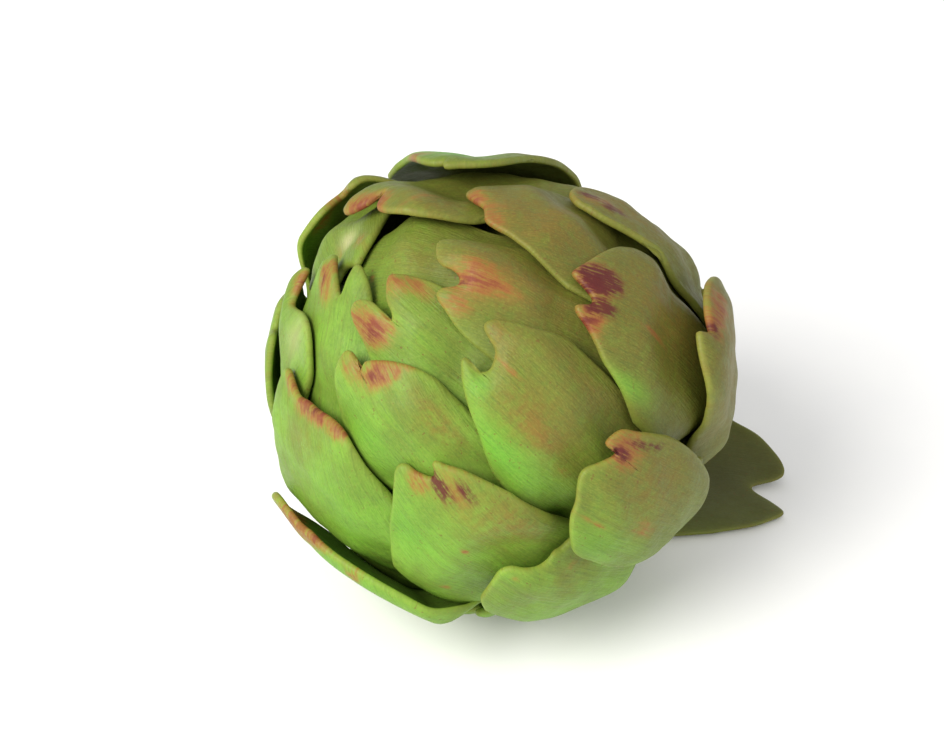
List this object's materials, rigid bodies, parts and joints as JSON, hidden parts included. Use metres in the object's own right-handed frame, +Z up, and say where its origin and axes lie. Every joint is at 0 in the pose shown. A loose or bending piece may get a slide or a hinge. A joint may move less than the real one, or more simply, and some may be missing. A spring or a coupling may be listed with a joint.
{
  "type": "artichoke",
  "caption": "Whole globe artichoke lying on its side: overlapping notched green bracts closed over a bud and heart, with a short cut stem; fresh produce for kitchen and market scenes.",
  "frame": {"origin": "centre of the flat spot that the head rests on", "axes": "+Z up from the surface the artichoke lies on; its stem-to-crown axis leans 45 degrees up towards -X, so the crown is at -X and the stem end at +X"},
  "size_m": [0.1293, 0.1047, 0.1009],
  "materials": {
    "bract_skin": "waxy green leaf skin, satin, mottled olive, with purple-brown tips",
    "bud": "pale green young bracts, satin",
    "cut_flesh": "moist cut plant flesh, matte"
  },
  "bodies": {
    "root": {"crown_bract_1": "bract_skin", "crown_bract_2": "bract_skin", "crown_bract_3": "bract_skin", "crown_bract_4": "bract_skin", "crown_bract_5": "bract_skin", "crown_bract_6": "bract_skin", "inner_bract_1": "bract_skin", "inner_bract_2": "bract_skin", "inner_bract_3": "bract_skin", "inner_bract_4": "bract_skin", "inner_bract_5": "bract_skin", "inner_bract_6": "bract_skin", "middle_bract_1": "bract_skin", "middle_bract_2": "bract_skin", "middle_bract_3": "bract_skin", "middle_bract_4": "bract_skin", "middle_bract_5": "bract_skin", "middle_bract_6": "bract_skin", "middle_bract_7": "bract_skin", "outer_bract_2": "bract_skin", "outer_bract_3": "bract_skin", "outer_bract_5": "bract_skin", "outer_bract_6": "bract_skin", "outer_bract_8": "bract_skin", "lower_bract_1": "bract_skin", "lower_bract_2": "bract_skin", "lower_bract_3": "bract_skin", "lower_bract_4": "bract_skin", "lower_bract_5": "bract_skin", "lower_bract_6": "bract_skin", "lower_bract_7": "bract_skin", "lower_bract_8": "bract_skin", "outer_bract_7": "bract_skin", "outer_bract_4": "bract_skin", "outer_bract_1": "bract_skin", "base_bract_1": "bract_skin", "base_bract_2": "bract_skin", "base_bract_3": "bract_skin", "base_bract_4": "bract_skin", "base_bract_5": "bract_skin", "closed_bud": "bud", "heart_and_stem": "cut_flesh", "spread_bract": "bract_skin"}
  },
  "joints": []
}
